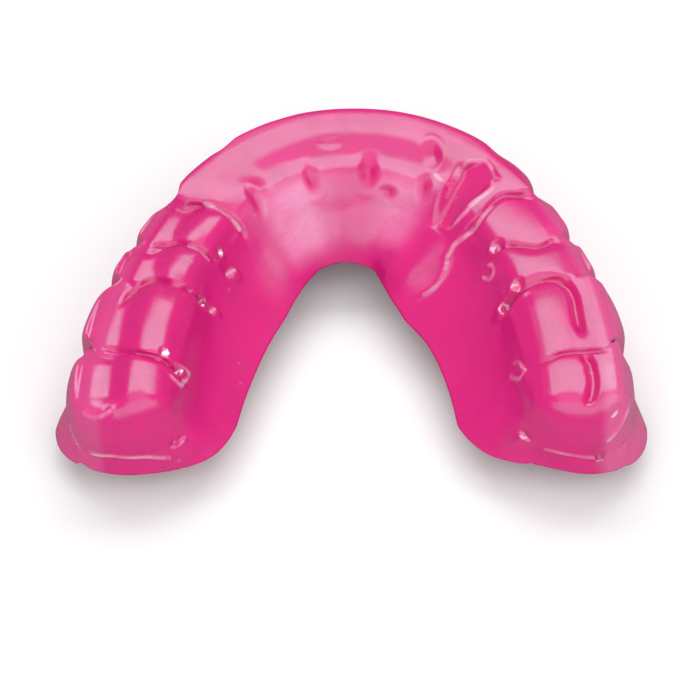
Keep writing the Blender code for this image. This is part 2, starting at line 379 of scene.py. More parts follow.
def store(mesh, name, values):
    mesh.attributes.new(name, "FLOAT", "POINT").data.foreach_set("value", values.astype(np.float32))


def stored(mesh, name):
    values = np.empty(len(mesh.vertices), np.float32)
    mesh.attributes[name].data.foreach_get("value", values)
    return values


def skin(name, sections, wall, levels):
    """A grid wrapped round the sections, closed along the middle line, and rounded."""
    count = len(sections)
    deselect_all()
    bpy.ops.mesh.primitive_grid_add(x_subdivisions=count, y_subdivisions=RINGS - 1, size=2.0)
    obj = bpy.context.object
    obj.name = name
    obj.data.name = name
    flat = vertex_array(obj.data)
    columns = np.rint((flat[:, 0] + 1.0) / 2.0 * count).astype(int)
    rings = np.rint((flat[:, 1] + 1.0) / 2.0 * (RINGS - 1)).astype(int)
    table = []
    for _, place, direction, points, lean in sections + sections[:1]:
        section = moved_in(points, wall)
        plan = place + section[:, :1] * direction + np.array(LEAN_SHARES)[:, None] * lean
        table.append(np.column_stack([plan, section[:, 1]]))
    set_points(obj.data, np.array(table)[columns, rings] * MM)
    lengths = np.array([length for length, *_ in sections + sections[:1]])
    store(obj.data, "ring", rings)
    store(obj.data, "along", lengths[columns])
    bpy.ops.object.mode_set(mode="EDIT")
    bpy.ops.mesh.select_all(action="SELECT")
    bpy.ops.mesh.remove_doubles(threshold=WELD * MM)
    bpy.ops.mesh.normals_make_consistent(inside=False)
    bpy.ops.object.mode_set(mode="OBJECT")
    rounding = obj.modifiers.new("rounding", "SUBSURF")
    rounding.levels = levels
    rounding.render_levels = levels
    bpy.ops.object.modifier_apply(modifier=rounding.name)
    return obj


def split_rows(obj, last_ring):
    """One more cut across every row from the middle line to a ring, on the smooth surface."""
    mesh = obj.data
    ends = np.empty(len(mesh.edges) * 2, np.int32)
    mesh.edges.foreach_get("vertices", ends)
    ends = stored(mesh, "ring")[ends.reshape(-1, 2)]
    across = np.abs(ends[:, 0] - ends[:, 1]) > RING_MARGIN
    chosen = across & (ends.max(axis=1) < last_ring + RING_MARGIN)
    pick(obj)
    bpy.ops.object.mode_set(mode="EDIT")
    bpy.ops.mesh.select_mode(type="EDGE")
    bpy.ops.mesh.select_all(action="DESELECT")
    bpy.ops.object.mode_set(mode="OBJECT")
    mesh.edges.foreach_set("select", chosen)
    bpy.ops.object.mode_set(mode="EDIT")
    bpy.ops.mesh.subdivide_edgering(number_cuts=1, interpolation="SURFACE", smoothness=1.0)
    bpy.ops.object.mode_set(mode="OBJECT")


# Pressed details

# The heights of each crown's top, as (reach, height) pairs. At its two ends a table fades into
# the plain section.
EDGE = (
    (-9.5, 11.7), (-8.5, 12.95), (-8.0, 13.6), (-7.5, 14.15), (-7.0, 14.62), (-6.5, 15.02),
    (-6.0, 15.35), (-5.6, 15.56), (-5.0, 15.7), (-4.2, 15.78), (-3.6, 15.86), (-3.2, 15.97),
    (-2.7, 16.14), (-2.2, 16.35), (-1.7, 16.56), (-1.2, 16.76), (-0.7, 16.92), (-0.2, 17.03),
    (0.4, 17.1), (1.0, 17.14), (2.0, 17.2), (2.5, 17.22), (3.0, 17.21), (3.4, 17.14),
    (3.7, 16.9), (4.1, 16.0),
)
SIDE_EDGE = (
    (-9.5, 11.7), (-8.0, 13.5), (-7.0, 14.55), (-6.0, 15.33), (-5.0, 15.75), (-4.2, 15.88),
    (-3.4, 16.02), (-2.9, 16.15), (-2.4, 16.33), (-1.9, 16.53), (-1.4, 16.73), (-0.9, 16.88),
    (-0.4, 16.98), (0.2, 17.05), (1.0, 17.13), (2.0, 17.22), (3.0, 17.21), (3.5, 17.13),
    (3.8, 16.9), (4.2, 16.1),
)
CANINE_TOP = (
    (-9.0, 12.0), (-8.0, 13.3), (-7.0, 14.6), (-6.0, 15.7), (-5.0, 16.35), (-4.0, 16.65),
    (-3.0, 16.8), (-2.0, 16.88), (-1.0, 16.95), (0.0, 17.0), (1.0, 17.1), (2.0, 17.17),
    (2.6, 17.15), (3.0, 17.0), (3.5, 16.5),
)
ROUND_PREMOLAR = (
    (-6.8, 13.6), (-6.0, 15.15), (-5.5, 15.9), (-5.0, 16.33), (-4.5, 16.63), (-4.0, 16.8),
    (-3.4, 16.87), (-3.0, 16.85), (-2.5, 16.76), (-2.0, 16.6), (-1.5, 16.38), (-1.0, 16.13),
    (-0.5, 15.9), (-0.1, 15.76), (0.2, 15.72), (1.0, 15.76), (1.6, 15.75), (2.0, 15.62),
    (2.5, 15.38), (3.0, 15.08), (3.5, 14.74), (4.0, 14.36), (4.8, 13.5),
)
ROUND_MOLAR = (
    (-6.8, 14.0), (-6.0, 15.3), (-5.5, 15.8), (-5.0, 16.2), (-4.5, 16.5), (-4.0, 16.7),
    (-3.5, 16.83), (-2.8, 16.9), (-2.2, 16.86), (-1.6, 16.72), (-1.0, 16.47), (-0.5, 16.2),
    (0.0, 15.9), (0.5, 15.6), (1.0, 15.36), (1.5, 15.22), (1.75, 15.2), (2.25, 15.21),
    (2.6, 15.14), (3.0, 15.0), (4.0, 14.6), (5.0, 14.1), (6.0, 13.3),
)
ROUND_LAST_MOLAR = (
    (-7.0, 12.8), (-6.0, 14.5), (-5.0, 15.45), (-4.5, 15.75), (-4.0, 16.0), (-3.2, 16.3),
    (-2.5, 16.43), (-1.9, 16.46), (-1.3, 16.4), (-0.9, 16.28), (-0.4, 16.02), (0.1, 15.7),
    (0.6, 15.4), (1.0, 15.17), (1.4, 15.0), (1.8, 14.92), (2.2, 14.93), (2.7, 14.97),
    (3.2, 14.95), (3.6, 14.86), (4.0, 14.7), (4.5, 14.46), (5.0, 14.18), (6.0, 13.4),
)
FLAT_PREMOLAR = (
    (-6.8, 13.6), (-6.0, 15.0), (-5.5, 15.6), (-5.0, 16.0), (-4.5, 16.28), (-4.0, 16.45),
    (-3.0, 16.63), (-2.0, 16.72), (-1.0, 16.75), (0.0, 16.71), (1.0, 16.6), (2.0, 16.4),
    (2.5, 16.27), (3.0, 16.05), (3.5, 15.7), (4.0, 15.2), (4.8, 14.0),
)
FLAT_MOLAR = (
    (-7.0, 13.7), (-6.0, 14.95), (-5.0, 15.75), (-4.0, 16.25), (-3.3, 16.45), (-2.5, 16.58),
    (-1.9, 16.6), (-1.0, 16.52), (-0.5, 16.42), (0.0, 16.33), (0.5, 16.3), (1.0, 16.35),
    (1.5, 16.42), (2.5, 16.5), (3.5, 16.4), (4.0, 16.2), (4.5, 15.85), (5.0, 15.4), (6.0, 13.8),
)
FLAT_LAST_MOLAR = (
    (-7.0, 12.8), (-6.0, 14.4), (-5.0, 15.25), (-4.0, 15.8), (-3.0, 16.15), (-2.3, 16.28),
    (-1.7, 16.32), (-0.8, 16.25), (0.0, 16.12), (0.5, 16.08), (1.0, 16.12), (1.5, 16.2),
    (2.75, 16.3), (3.9, 16.15), (4.5, 15.8), (5.0, 15.3), (6.0, 13.4),
)
LEFT_CROWNS = (
    EDGE, SIDE_EDGE, CANINE_TOP, ROUND_PREMOLAR, ROUND_PREMOLAR, ROUND_MOLAR, ROUND_LAST_MOLAR,
)
RIGHT_CROWNS = (
    EDGE, SIDE_EDGE, CANINE_TOP, FLAT_PREMOLAR, FLAT_PREMOLAR, FLAT_MOLAR, FLAT_LAST_MOLAR,
)
# A table is read off smoothly: over what stretch it is rounded, from how many samples, and how
# far past its ends.
TABLE_BLEND = 0.7
TABLE_SAMPLES = 400
TABLE_MARGIN = 1.0
# A contact's rows are (reach, how far it strays to the back, how far the crowns drop to it), and
# two crowns blend over it.
Contact = namedtuple("Contact", "blend rows")
MIDLINE = Contact(2.5, ((-9.0, 0.0, 0.0), (6.0, 0.0, 0.0)))
LEFT_CONTACTS = (
    MIDLINE, MIDLINE, MIDLINE,
    Contact(0.6, (
        (-7.0, -1.1, 0.3), (-4.0, -1.0, 0.6), (-1.0, -0.4, 0.5), (0.6, 0.5, 0.5), (3.0, 0.5, 0.5),
    )),
    Contact(0.5, (
        (-6.0, -1.1, 0.3), (-4.0, -0.5, 0.6), (-1.8, -0.5, 0.6), (-0.1, 0.3, 0.5), (1.0, 1.6, 0.5),
        (3.0, 1.6, 0.5),
    )),
    Contact(0.5, (
        (-6.0, -0.8, 0.3), (-5.0, 0.2, 0.5), (-3.2, 0.5, 0.6), (-1.7, -0.1, 0.6), (-0.5, 0.3, 0.5),
        (0.5, 0.8, 0.1), (3.0, 0.0, 0.0),
    )),
    Contact(0.5, (
        (-7.0, 2.4, 0.2), (-5.6, 2.4, 0.3), (-3.4, 1.3, 0.5), (-2.1, 0.8, 0.5), (-0.7, 0.1, 0.5),
        (0.6, 0.2, 0.5), (2.9, 0.6, 0.5),
    )),
)
RIGHT_CONTACTS = (
    MIDLINE, MIDLINE, MIDLINE,
    Contact(0.6, (
        (-7.3, -0.8, 0.1), (-5.5, 0.0, 0.15), (-3.3, -0.6, 0.15), (-1.5, -1.1, 0.12),
        (-0.4, -1.1, 0.12), (1.2, -0.1, 0.12), (2.3, 0.3, 0.12),
    )),
    Contact(0.5, (
        (-6.0, -1.5, 0.2), (-3.8, -0.8, 0.35), (-2.5, 0.5, 0.35), (-1.4, 1.1, 0.35),
        (1.5, 0.9, 0.35),
    )),
    Contact(0.5, (
        (-7.4, 2.1, 0.2), (-5.3, 0.9, 0.3), (-3.9, 0.3, 0.35), (-1.0, -0.2, 0.3), (0.5, 0.0, 0.0),
    )),
    Contact(0.5, (
        (-5.0, 1.8, 0.15), (-3.7, 1.3, 0.15), (-2.5, 0.6, 0.15), (-0.6, 0.0, 0.15),
        (1.2, 0.2, 0.0), (2.9, 0.6, 0.0),
    )),
)
# Where a crown's top stands, as a share of its length, and how steeply its ends drop.
APEX_SHARE = 0.33
DROP_POWER = 2.5
# How far a last crown falls behind its middle, and where it turns down into the heel.
HEEL_FALL = ((-1.0, 0.0), (0.0, 0.0), (2.0, 0.07), (4.0, 0.28), (5.5, 0.6), (7.0, 1.1))
HEEL_TURN = (3.0, 6.8)
# How far up the skin has to face to be lifted, as the height of its normal.
FACING_UP = (0.0, 0.45)

# Where the sheet is drawn thin behind the front teeth: how much by arc length, and the reaches
# over which it starts and ends.
THIN_ALONG = (
    (-24.0, 0.0), (-20.0, 0.3), (-17.0, 0.8), (-10.0, 0.8), (-6.0, 0.35), (-2.0, 0.1), (2.0, 0.1),
    (6.0, 0.35), (9.0, 0.65), (13.0, 0.55), (16.0, 0.1), (18.0, 0.0),
)
THIN_RIM = (-13.5, -11.0)
THIN_TOP = (-7.0, -4.0)
# How thin it is over the cheek side of the back teeth, by arc length, and from what reach.
THIN_CHEEK = ((-50.0, 0.2), (-26.0, 0.15), (-22.0, 0.0), (22.0, 0.0), (26.0, 0.25), (50.0, 0.35))
THIN_CHEEK_TOP = (1.8, 3.2)

# A crease along pixels of the photograph, with its depth and its half widths, in millimetres, to
# the left and to the right of the way it runs.
Crease = namedtuple("Crease", "depth left right pixels")
CREASES = {
    "left canine to premolar": Crease(0.55, 0.5, 0.8, (
        (172, 199), (186, 204), (200, 205), (212, 206), (222, 211), (232, 219), (240, 230),
        (245, 239),
    )),
    "left premolars": Crease(0.5, 0.5, 0.6, (
        (136, 244), (150, 249), (165, 247), (180, 244), (190, 247), (200, 252), (209, 258),
        (216, 264),
    )),
    "left premolar to molar": Crease(0.55, 0.5, 0.6, (
        (118, 312), (130, 297), (140, 289), (150, 283), (160, 281), (170, 284), (185, 290),
        (197, 297), (205, 306), (209, 317),
    )),
    "left molars": Crease(0.5, 0.5, 0.5, (
        (97, 350), (106, 351), (120, 352), (131, 352), (142, 354), (152, 356), (160, 361),
        (170, 372), (180, 383), (187, 391),
    )),
    "right canine to premolar": Crease(0.5, 0.8, 0.5, (
        (540, 196), (530, 196), (520, 196), (505, 196), (497, 199), (488, 208), (480, 220),
        (470, 232), (460, 238),
    )),
    "right premolars": Crease(0.5, 0.6, 0.5, (
        (568, 237), (556, 241), (545, 247), (535, 250), (525, 248), (511, 247), (500, 252),
        (490, 264),
    )),
    "right premolar to molar": Crease(0.75, 1.1, 0.9, (
        (505, 320), (512, 306), (520, 295), (530, 287), (541, 283), (551, 281), (560, 283),
        (568, 290), (574, 301), (576, 315), (578, 327), (584, 339), (586, 344),
    )),
    "right molars": Crease(0.4, 0.5, 0.5, (
        (608, 352), (600, 352), (590, 352), (575, 353), (560, 354), (550, 358),
    )),
    "right last molar groove": Crease(0.7, 1.1, 0.9, (
        (581, 354), (590, 366), (594, 383), (592, 395), (586, 408),
    )),
}
CREASE_POINTS = 120
# How steeply a crease falls to its line, and over which shares of its length it starts and ends.
CREASE_POWER = 1.5
CREASE_START = (-0.02, 0.15)
CREASE_END = (0.85, 1.02)
# How deep a mark is, in millimetres, where its painted shade is deepest, and how far from a ridge's
# line the field of its painted highlight runs out.
FULL_PRESS = 0.4
LINE_REACH = 1.3
# Folds, edges, drawn lines and the rims of pits stand out: their depth is below zero.
# A pale painted highlight is laid along each of them in the colour.
RIDGES = {
    "left heel": Crease(-0.35, 0.7, 0.6, (
        (78, 409), (84, 415), (93, 419), (103, 416), (115, 407),
    )),
    "left heel fold": Crease(-0.35, 0.5, 0.5, (
        (66, 392), (66, 405), (67, 420), (70, 434), (76, 446), (84, 452),
    )),
    "left heel line": Crease(-0.22, 0.35, 0.35, (
        (80, 452), (95, 456), (112, 457), (128, 459), (146, 458), (166, 459), (190, 454),
    )),
    "left molar fold": Crease(-0.3, 0.4, 0.4, (
        (163, 362), (178, 365), (192, 373), (188, 380), (183, 386), (173, 376), (164, 365),
    )),
    "right heel fold": Crease(-0.35, 0.5, 0.5, (
        (632, 372), (633, 392), (629, 412), (622, 428), (612, 440), (600, 448),
    )),
    "right heel line": Crease(-0.22, 0.35, 0.35, (
        (535, 447), (555, 453), (575, 457), (595, 459), (612, 457),
    )),
    "right premolar pit": Crease(-0.25, 0.4, 0.4, (
        (483, 268), (490, 264), (493, 272), (488, 280), (482, 278), (482, 270),
    )),
    "right molar pit": Crease(-0.25, 0.4, 0.4, (
        (508, 364), (517, 361), (524, 370), (518, 379), (509, 377), (507, 367),
    )),
    "right canine fold": Crease(-0.25, 0.4, 0.4, (
        (444, 247), (447, 256), (446, 265), (442, 276), (435, 286), (426, 293), (415, 298),
    )),
    "right facet top": Crease(-0.04, 0.3, 0.3, (
        (440, 208), (452, 188), (460, 173), (468, 160), (486, 160), (498, 177),
    )),
    "right facet side": Crease(-0.04, 0.3, 0.3, (
        (500, 181), (490, 190), (480, 198), (465, 213), (449, 229), (439, 225),
    )),
    "right lateral facet": Crease(-0.03, 0.3, 0.3, (
        (464, 161), (457, 172), (449, 186), (440, 179), (430, 170),
    )),
    "right web edge": Crease(-0.12, 0.3, 0.3, (
        (499, 199), (487, 211), (476, 226), (464, 237), (452, 246), (446, 262),
    )),
    "left premolar edge": Crease(-0.1, 0.3, 0.3, (
        (183, 243), (191, 245), (200, 250), (206, 256), (213, 263),
    )),
    "left canine edge": Crease(-0.1, 0.3, 0.3, (
        (196, 203), (210, 204), (222, 209), (233, 218), (241, 230), (243, 238),
    )),
}

# The facet pressed into the right canine: its corners, clockwise, as pixels and how far each is
# raised, in millimetres, and how wide its edge is.
FACET = (
    (464, 163, -1.1), (488, 161, 0.0), (498, 179, 0.3), (449, 229, 0.3), (438, 221, -1.1),
)
FACET_BLEND = 0.8

# A ledge pressed into the sheet, level but for this tilt towards the camera, in degrees, between
# the pixels at its ends, with its width in millimetres and how much it glints.
LEDGE_TILT = 4.0
# Over which shares of its half size a ledge fades out.
LEDGE_EDGE = (0.6, 1.3)
Ledge = namedtuple("Ledge", "width glint start end")
LEDGES = (
    Ledge(0.9, 1.0, (216, 246), (225, 260)), Ledge(1.3, 0.15, (222, 271), (240, 274)),
    Ledge(1.1, 1.0, (199, 303), (208, 303)), Ledge(1.1, 0.15, (207, 309), (219, 312)),
    Ledge(1.3, 1.0, (160, 353), (171, 353)), Ledge(0.9, 1.0, (173, 370), (186, 374)),
    Ledge(1.4, 0.4, (487, 256), (503, 242)), Ledge(1.4, 0.4, (508, 293), (523, 280)),
    Ledge(2.0, 0.4, (495, 315), (511, 303)), Ledge(1.6, 0.4, (515, 441), (533, 434)),
    Ledge(0.9, 1.0, (612, 410), (617, 419)), Ledge(0.9, 1.0, (595, 460), (605, 459)),
    Ledge(1.6, 0.1, (168, 446), (188, 440)),
)

# An oval pressed into the sheet, between the pixels at its ends, with its width and depth, and
# a raised lip round it, in millimetres.
Dimple = namedtuple("Dimple", "width depth lip pixels")
DIMPLES = {
    "left canine": Dimple(2.2, 0.55, 0.0, ((245, 184), (264, 221))),
    "left lateral incisor": Dimple(2.2, 0.6, 0.05, ((306, 166), (317, 195))),
    "right central incisor": Dimple(2.9, 0.75, 0.05, ((370, 156), (367, 189))),
    "right lateral incisor": Dimple(2.3, 0.5, 0.0, ((426, 173), (422, 203))),
    "left edge": Dimple(2.0, 0.4, 0.0, ((315, 143), (345, 141))),
    "right edge": Dimple(2.4, 0.5, 0.05, ((431, 140), (434, 168))),
    "right cingulum": Dimple(2.0, 0.5, 0.0, ((378, 189), (398, 195))),
}
# A dimple's form in shares of its half width: where its lip stands, how wide the lip is, where
# its slope ends and how round its bottom is.
LIP_PLACE = 1.3
LIP_WIDTH = 0.2
DIMPLE_RIM = 1.05
DIMPLE_ROUNDING = 0.2
# How far off its own level a mark acts, and the facet, in millimetres. FAR_OFF is out of reach.
MARK_RANGE = 2.0
FACET_RANGE = 2.5
FAR_OFF = 9.0
# How often the aim at a pixel is mended for a mark's depth.
AIM_ROUNDS = 3

# The sheet's relief: how strong each pattern is, and how high, in millimetres.
RELIEF = (("Clouds", 0.35, 0.12), ("Flow", 0.3, 0.05), ("Specks", 0.5, 0.05))
# How deep the colour is in the clouds, and how far the roughness strays.
CLOUD_SHADE = 0.86
ROUGHNESS_SPREAD = (-0.04, 0.06)


def smoothed(values, count, **padding):
    """Evenly spaced values, rounded off over count of them."""
    window = np.hanning(count)
    padded = np.pad(values, count, **padding)
    return np.convolve(padded, window / window.sum(), mode="same")[count:-count]


def lookup(values, table):
    """Values read off a table of (place, value) pairs, smoothly."""
    places, heights = np.array(table).T
    fine = np.linspace(places[0] - TABLE_MARGIN, places[-1] + TABLE_MARGIN, TABLE_SAMPLES)
    count = int(TABLE_BLEND / (fine[1] - fine[0])) + 2
    return np.interp(values, fine, smoothed(np.interp(fine, places, heights), count, mode="edge"))


def step(values, start, end):
    share = np.clip((values - start) / (end - start), 0.0, 1.0)
    return share * share * (3.0 - 2.0 * share)


def contact_lengths(sign):
    """How far the contacts lie to one side, from the midline to the back of the last molar."""
    lengths = [sign * MIDLINE_SHIFT]
    for tooth in TEETH.values():
        lengths.append(lengths[-1] + (tooth.right if sign > 0 else tooth.left).width)
    return lengths


def crown_weights(here, edges, contacts):
    """How much of each crown there is at each point, from the midline to the back."""
    bounds = [1.0]
    for edge, contact in zip(edges[1:], contacts[1:]):
        bounds.append(step(here - edge, -contact.blend, contact.blend))
    bounds.append(0.0)
    return [front - back for front, back in zip(bounds[:-1], bounds[1:])]


def crown_lift(along, reach, behind, height):
    """How far each point has to rise to lie on its crown's top."""
    lift = np.zeros(len(along))
    sides = ((-1, LEFT_CROWNS, LEFT_CONTACTS), (1, RIGHT_CROWNS, RIGHT_CONTACTS))
    for sign, crowns, contacts in sides:
        here = along * sign
        lengths = contact_lengths(sign)
        rows = [np.array(contact.rows) for contact in contacts]
        edges = [length + lookup(reach, row[:, :2]) for length, row in zip(lengths, rows)]
        drops = [lookup(reach, row[:, ::2]) for row in rows]
        edges.append(0.0 * reach + lengths[-1])
        drops.append(0.0 * reach)
        weights = crown_weights(here, edges, contacts)
        weights[0] = weights[0] * step(here - edges[0], -contacts[0].blend, contacts[0].blend)
        for index, crown in enumerate(crowns):
            share = np.clip((here - edges[index]) / (edges[index + 1] - edges[index]), 0.0, 1.0)
            front = np.clip(1.0 - share / APEX_SHARE, 0.0, 1.0)
            back = np.clip((share - APEX_SHARE) / (1.0 - APEX_SHARE), 0.0, 1.0)
            target = lookup(reach, crown) - drops[index] * front ** DROP_POWER
            target -= drops[index + 1] * back ** DROP_POWER
            target -= lookup(behind, HEEL_FALL)
            fade = step(reach, crown[0][0], crown[1][0])
            fade *= 1.0 - step(reach, crown[-2][0], crown[-1][0])
            lift += weights[index] * fade * (target - height)
    return lift * (1.0 - step(behind, *HEEL_TURN))


def thin_share(along, reach):
    """How thin the sheet was drawn at each point, from 0 to 1."""
    front = lookup(along, THIN_ALONG) * step(reach, *THIN_RIM) * (1.0 - step(reach, *THIN_TOP))
    return front + lookup(along, THIN_CHEEK) * step(reach, *THIN_CHEEK_TOP)


def press_crowns(mesh, shift):
    """Lift the skin onto the crowns' tops, and store its reach and where it is thin."""
    points = vertex_array(mesh)
    place_along, reach = arch_coordinates((points - shift) / MM)
    along = stored(mesh, "along")
    behind = np.abs(place_along) - np.abs(along).max()
    upward = step(normal_array(mesh)[:, 2], *FACING_UP)
    points[:, 2] += crown_lift(along, reach, behind, points[:, 2] / MM) * upward * MM
    store(mesh, "reach", reach)
    store(mesh, "thin", thin_share(place_along, reach))
    set_points(mesh, points)


def skin_tree(mesh):
    faces = [tuple(polygon.vertices) for polygon in mesh.polygons]
    return BVHTree.FromPolygons([tuple(point) for point in vertex_array(mesh)], faces)


def cast(tree, pixel, depth):
    """Where the skin is seen at a pixel once it is pressed in by depth there."""
    right, up, back = camera_axes()
    eye = camera_place() * MM
    middle = FRAME_SIDE / 2.0
    aim = np.array(pixel, float)
    for _ in range(AIM_ROUNDS):
        ray = right * (aim[0] - middle) - up * (aim[1] - middle) - back * FOCAL_PIXELS
        place, normal = tree.ray_cast(Vector(eye), Vector(ray).normalized())[:2]
        if place is None:
            return None
        offset = np.array(place) - depth * MM * np.array(normal) - eye
        scale = FOCAL_PIXELS / -(offset @ back)
        seen = np.array([middle + offset @ right * scale, middle - offset @ up * scale])
        aim += np.array(pixel) - seen
    return np.array(place) / MM, np.array(normal)


def crease_line(tree, crease):
    """Evenly spaced points along a crease, with the skin's normals."""
    hits = [cast(tree, pixel, crease.depth) for pixel in crease.pixels]
    hits = [hit for hit in hits if hit is not None]
    corners = np.array([place for place, _ in hits])
    normals = np.array([normal for _, normal in hits])
    runs = np.concatenate([[0.0], np.cumsum(np.linalg.norm(np.diff(corners, axis=0), axis=1))])
    fine = np.linspace(0.0, runs[-1], CREASE_POINTS)
    line = np.column_stack([np.interp(fine, runs, corners[:, axis]) for axis in range(3)])
    count = CREASE_POINTS // len(corners) + 2
    for axis in range(3):
        line[:, axis] = smoothed(line[:, axis], count, mode="reflect", reflect_type="odd")
    return line, np.column_stack([np.interp(fine, runs, normals[:, axis]) for axis in range(3)])


def crease_share(tree, crease, points):
    """How near points are to a crease's line, from 0 at its half width to 1."""
    line, normals = crease_line(tree, crease)
    reach = max(crease.left, crease.right)
    near = ((points > line.min(axis=0) - reach) & (points < line.max(axis=0) + reach)).all(axis=1)
    shares = np.zeros(len(points))
    gaps = points[near][:, None, :] - line[None, :, :]
    distances = np.linalg.norm(gaps, axis=2)
    nearest = distances.argmin(axis=1)
    rows = np.arange(len(nearest))
    across = np.cross(normals, np.gradient(line, axis=0))[nearest]
    on_left = (gaps[rows, nearest] * across).sum(axis=1) > 0.0
    width = np.where(on_left, crease.left, crease.right)
    share = np.clip(1.0 - distances[rows, nearest] / width, 0.0, 1.0)
    place = nearest / (CREASE_POINTS - 1.0)
    taper = step(place, *CREASE_START) * (1.0 - step(place, *CREASE_END))
    shares[near] = share * taper
    return shares


def crease_change(tree, crease, points):
    return -crease.depth * crease_share(tree, crease, points) ** CREASE_POWER


def dimple_change(tree, dimple, points):
    (start, start_normal), (end, end_normal) = [cast(tree, pixel, 0.0) for pixel in dimple.pixels]
    normal = start_normal + end_normal
    normal /= np.linalg.norm(normal)
    half = np.linalg.norm(end - start) / 2.0
    run = (end - start) / (2.0 * half)
    across = np.cross(normal, run)
    offset = points - (start + end) / 2.0
    out = np.hypot(offset @ run / half, offset @ across / (dimple.width / 2.0))
    out = np.where(np.abs(offset @ normal) < MARK_RANGE, out, FAR_OFF)
    lip = dimple.lip * np.exp(-((out - LIP_PLACE) / LIP_WIDTH) ** 2)
    return lip - dimple.depth * np.clip(DIMPLE_RIM - np.hypot(out, DIMPLE_ROUNDING), 0.0, 1.0)


def press_facet(tree, points):
    """Points inside the facet's outline, moved onto the plane through its raised corners."""
    corners = np.array([cast(tree, (x, y), 0.0)[0] for x, y, _ in FACET])
    corners[:, 2] += np.array([rise for _, _, rise in FACET])
    middle = corners.mean(axis=0)
    normal = np.linalg.svd(corners - middle)[2][2]
    normal *= math.copysign(1.0, normal[2])
    height = (points - middle) @ normal
    inside = np.full(len(points), FAR_OFF)
    for first, second in zip(corners, np.roll(corners, -1, axis=0)):
        inward = np.cross(second - first, normal)
        inward /= np.linalg.norm(inward)
        inward *= math.copysign(1.0, (middle - first) @ inward)
        inside = np.minimum(inside, (points - first) @ inward)
    weight = step(inside, -FACET_BLEND / 2.0, FACET_BLEND / 2.0) * (np.abs(height) < FACET_RANGE)
    return points - (weight * height)[:, None] * normal


def ledge_change(tree, ledge, points):
    """How far points near a ledge have to rise to lie on it, and how far in it they are."""
    start, end = [cast(tree, pixel, 0.0)[0] for pixel in (ledge.start, ledge.end)]
    half = np.linalg.norm((end - start)[:2]) / 2.0
    run = (end - start)[:2] / (2.0 * half)
    offset = points - (start + end) / 2.0
    across = offset[:, 0] * -run[1] + offset[:, 1] * run[0]
    out = np.hypot(offset[:, :2] @ run / half, across / (ledge.width / 2.0))
    level = -offset[:, 2] + offset[:, 1] * math.tan(math.radians(LEDGE_TILT))
    inside = (1.0 - step(out, *LEDGE_EDGE)) * (np.abs(offset[:, 2]) < MARK_RANGE)
    return level * inside, inside


def press_ledges(mesh):
    """Press the facet and the ledges into the skin, and store how much it glints."""
    tree = skin_tree(mesh)
    points = press_facet(tree, vertex_array(mesh) / MM)
    glint = np.zeros(len(points))
    for ledge in LEDGES:
        rise, inside = ledge_change(tree, ledge, points)
        points[:, 2] += rise
        glint = np.maximum(glint, ledge.glint * inside)
    set_points(mesh, points * MM)
    store(mesh, "glint", glint)


def press_marks(mesh):
    """Press the creases, ridges and dimples along the skin's normals, and store where they are: the
    masks for the painted highlight along the ridges and the painted shade in the marks.
    """
    tree = skin_tree(mesh)
    points = vertex_array(mesh) / MM
    change = np.zeros(len(points))
    line = np.zeros(len(points))
    for crease in (*CREASES.values(), *RIDGES.values()):
        change += crease_change(tree, crease, points)
    # The line field carries the painted highlight along the ridges.
    for ridge in RIDGES.values():
        wide = ridge._replace(left=LINE_REACH, right=LINE_REACH)
        line = np.maximum(line, crease_share(tree, wide, points))
    for dimple in DIMPLES.values():
        change += dimple_change(tree, dimple, points)
    store(mesh, "line", line)
    # The pressed mask carries the painted shade in the creases and dimples.
    store(mesh, "pressed", np.clip(-change / FULL_PRESS, 0.0, 1.0))
    set_points(mesh, vertex_array(mesh) + normal_array(mesh) * change[:, None] * MM)


def camera_axes():
    """The camera's right, up and backward directions."""
    turn = math.radians(CAMERA_AZIMUTH)
    rise = math.radians(CAMERA_ELEVATION)
    roll = math.radians(CAMERA_ROLL)
    flat = math.cos(rise)
    back = np.array([math.sin(turn) * flat, -math.cos(turn) * flat, math.sin(rise)])
    right = np.cross(-back, (0.0, 0.0, 1.0))
    right /= np.linalg.norm(right)
    up = np.cross(right, -back)
    rolled_right = math.cos(roll) * right + math.sin(roll) * up
    rolled_up = math.cos(roll) * up - math.sin(roll) * right
    return rolled_right, rolled_up, back


def camera_place():
    return np.array(CAMERA_TARGET) + camera_axes()[2] * CAMERA_DISTANCE


# Materials

def feed(tree, made, inputs):
    """Link a socket to each input, or set its value."""
    for name, value in inputs.items():
        if isinstance(value, bpy.types.NodeSocket):
            tree.links.new(value, made.inputs[name])
        else:
            made.inputs[name].default_value = value


def node(tree, kind, inputs, **settings):
    """A new node, with its settings and its inputs, which go by name or by place."""
    made = tree.nodes.new(kind)
    for name, value in settings.items():
        setattr(made, name, value)
    feed(tree, made, inputs)
    return made


def attribute(tree, name):
    return node(tree, "ShaderNodeAttribute", {}, attribute_name=name).outputs["Fac"]


def product(tree, first, second):
    return node(tree, "ShaderNodeMath", {0: first, 1: second}, operation="MULTIPLY").outputs[0]


def remap(tree, value, low, high, start, end):
    """A value carried from between low and high to between start and end."""
    inputs = {0: value, 1: low, 2: high, 3: start, 4: end}
    return node(tree, "ShaderNodeMapRange", inputs).outputs[0]


def mix_colours(tree, share, first, second):
    """The second colour mixed over the first. Each is a socket or three plain values."""
    first, second = [
        colour if isinstance(colour, bpy.types.NodeSocket) else (*colour, 1.0)
        for colour in (first, second)
    ]
    return node(tree, "ShaderNodeMix", {0: share, 6: first, 7: second}, data_type="RGBA").outputs[2]


